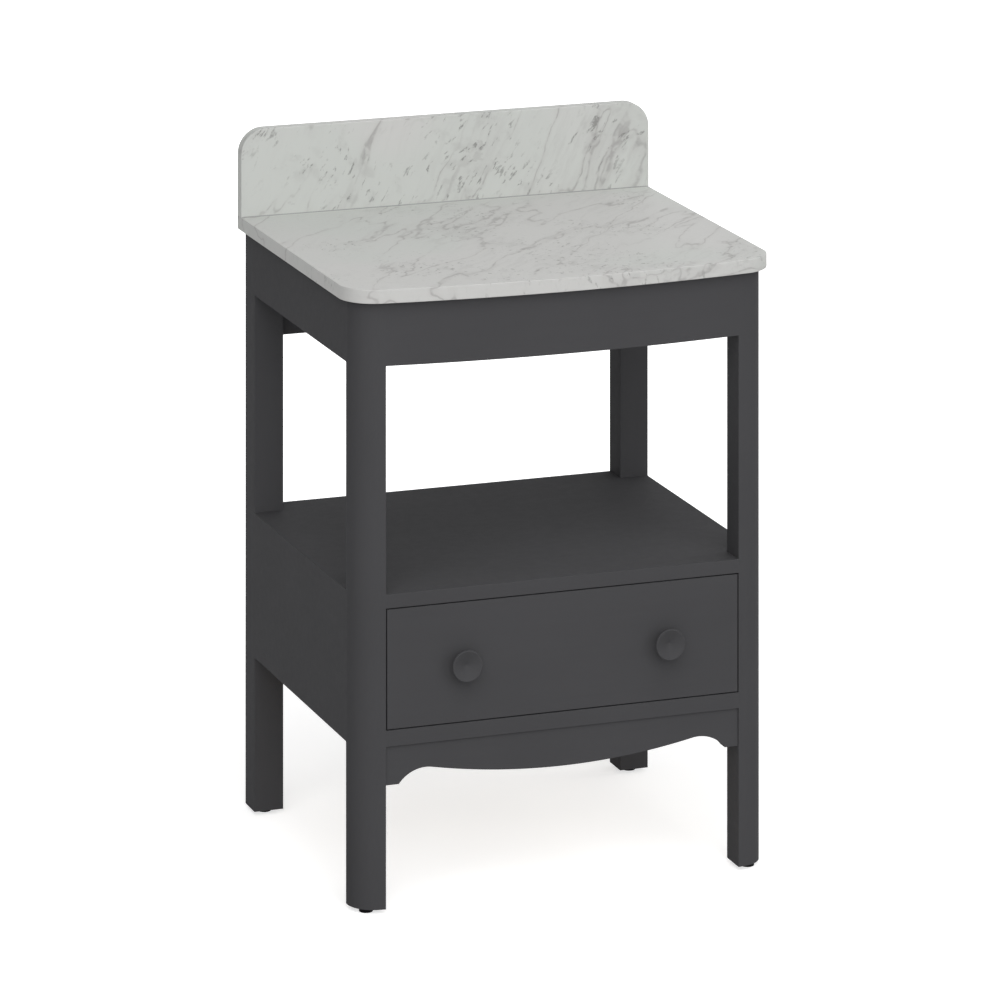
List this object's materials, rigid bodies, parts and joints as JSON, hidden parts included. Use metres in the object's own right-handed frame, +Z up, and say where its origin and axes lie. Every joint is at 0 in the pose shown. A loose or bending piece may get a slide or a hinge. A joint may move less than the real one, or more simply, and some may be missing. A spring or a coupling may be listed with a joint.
{
  "type": "bathroom vanity stand",
  "caption": "Freestanding vanity stand with a bow-fronted stone worktop and upstand, an open shelf, a drawer on telescopic runners, a scalloped apron and levelling feet.",
  "frame": {"origin": "on the floor, under the middle of the worktop", "axes": "+X to the right seen from the front, +Y from the front to the back, +Z up"},
  "size_m": [0.65, 0.55, 1.013],
  "materials": {
    "marble": "honed pale grey marble with soft veins",
    "painted_timber": "dark grey satin paint over timber",
    "bare_softwood": "planed softwood",
    "birch_plywood": "lacquered birch plywood",
    "zinc_plated_steel": "bright zinc plate",
    "cage_steel": "pressed sheet",
    "ball_steel": "polished bearing ball",
    "black_plastic": "moulded glide",
    "insert_brass": "turned brass"
  },
  "bodies": {
    "carcass": {"front_left_leg": "painted_timber", "front_right_leg": "painted_timber", "rear_left_leg": "painted_timber", "rear_right_leg": "painted_timber", "marble_worktop": "marble", "marble_upstand": "marble", "top_front_rail": "painted_timber", "top_back_rail": "painted_timber", "top_left_rail": "painted_timber", "top_right_rail": "painted_timber", "left_worktop_cleat": "bare_softwood", "right_worktop_cleat": "bare_softwood", "cleat_screws": "zinc_plated_steel", "shelf_board": "painted_timber", "bay_floor": "birch_plywood", "back_panel": "painted_timber", "bottom_front_rail": "painted_timber", "scalloped_apron": "painted_timber", "apron_glue_blocks": "bare_softwood", "left_side_panel": "painted_timber", "right_side_panel": "painted_timber", "left_runner_packer": "bare_softwood", "right_runner_packer": "bare_softwood", "left_runner_cabinet_member": "zinc_plated_steel", "right_runner_cabinet_member": "zinc_plated_steel", "cabinet_runner_screws": "zinc_plated_steel", "threaded_inserts": "insert_brass"},
    "drawer": {"drawer_front": "painted_timber", "drawer_box_front": "birch_plywood", "drawer_left_side": "birch_plywood", "drawer_right_side": "birch_plywood", "drawer_back": "birch_plywood", "drawer_bottom": "birch_plywood", "left_knob": "painted_timber", "right_knob": "painted_timber", "knob_screws": "zinc_plated_steel", "drawer_front_screws": "zinc_plated_steel", "left_runner_drawer_member": "zinc_plated_steel", "right_runner_drawer_member": "zinc_plated_steel", "drawer_runner_screws": "zinc_plated_steel"},
    "left_middle_member": {"left_runner_middle_member": "zinc_plated_steel"},
    "left_outer_cage": {"left_outer_ball_cage": "cage_steel", "left_outer_balls": "ball_steel"},
    "left_inner_cage": {"left_inner_ball_cage": "cage_steel", "left_inner_balls": "ball_steel"},
    "right_middle_member": {"right_runner_middle_member": "zinc_plated_steel"},
    "right_outer_cage": {"right_outer_ball_cage": "cage_steel", "right_outer_balls": "ball_steel"},
    "right_inner_cage": {"right_inner_ball_cage": "cage_steel", "right_inner_balls": "ball_steel"},
    "front_left_foot": {"front_left_foot": "black_plastic"},
    "front_right_foot": {"front_right_foot": "black_plastic"},
    "rear_left_foot": {"rear_left_foot": "black_plastic"},
    "rear_right_foot": {"rear_right_foot": "black_plastic"}
  },
  "joints": [
    {"name": "drawer_slide", "type": "slide", "parent": "carcass", "child": "drawer", "axis": [0, -1, 0], "range_m": [0, 0.34]},
    {"name": "left_middle_member_slide", "type": "slide", "parent": "carcass", "child": "left_middle_member", "axis": [0, -1, 0], "range_m": [0, 0.17]},
    {"name": "left_outer_cage_slide", "type": "slide", "parent": "carcass", "child": "left_outer_cage", "axis": [0, -1, 0], "range_m": [0, 0.085]},
    {"name": "left_inner_cage_slide", "type": "slide", "parent": "carcass", "child": "left_inner_cage", "axis": [0, -1, 0], "range_m": [0, 0.255]},
    {"name": "right_middle_member_slide", "type": "slide", "parent": "carcass", "child": "right_middle_member", "axis": [0, -1, 0], "range_m": [0, 0.17]},
    {"name": "right_outer_cage_slide", "type": "slide", "parent": "carcass", "child": "right_outer_cage", "axis": [0, -1, 0], "range_m": [0, 0.085]},
    {"name": "right_inner_cage_slide", "type": "slide", "parent": "carcass", "child": "right_inner_cage", "axis": [0, -1, 0], "range_m": [0, 0.255]},
    {"name": "front_left_foot_screw", "type": "slide", "parent": "carcass", "child": "front_left_foot", "axis": [0, 0, -1], "range_m": [0, 0.01]},
    {"name": "front_right_foot_screw", "type": "slide", "parent": "carcass", "child": "front_right_foot", "axis": [0, 0, -1], "range_m": [0, 0.01]},
    {"name": "rear_left_foot_screw", "type": "slide", "parent": "carcass", "child": "rear_left_foot", "axis": [0, 0, -1], "range_m": [0, 0.01]},
    {"name": "rear_right_foot_screw", "type": "slide", "parent": "carcass", "child": "rear_right_foot", "axis": [0, 0, -1], "range_m": [0, 0.01]}
  ],
  "couplings": [
    {"joint": "left_middle_member_slide", "follows": "drawer_slide", "ratio": 0.5},
    {"joint": "left_outer_cage_slide", "follows": "drawer_slide", "ratio": 0.25},
    {"joint": "left_inner_cage_slide", "follows": "drawer_slide", "ratio": 0.75},
    {"joint": "right_middle_member_slide", "follows": "drawer_slide", "ratio": 0.5},
    {"joint": "right_outer_cage_slide", "follows": "drawer_slide", "ratio": 0.25},
    {"joint": "right_inner_cage_slide", "follows": "drawer_slide", "ratio": 0.75}
  ]
}
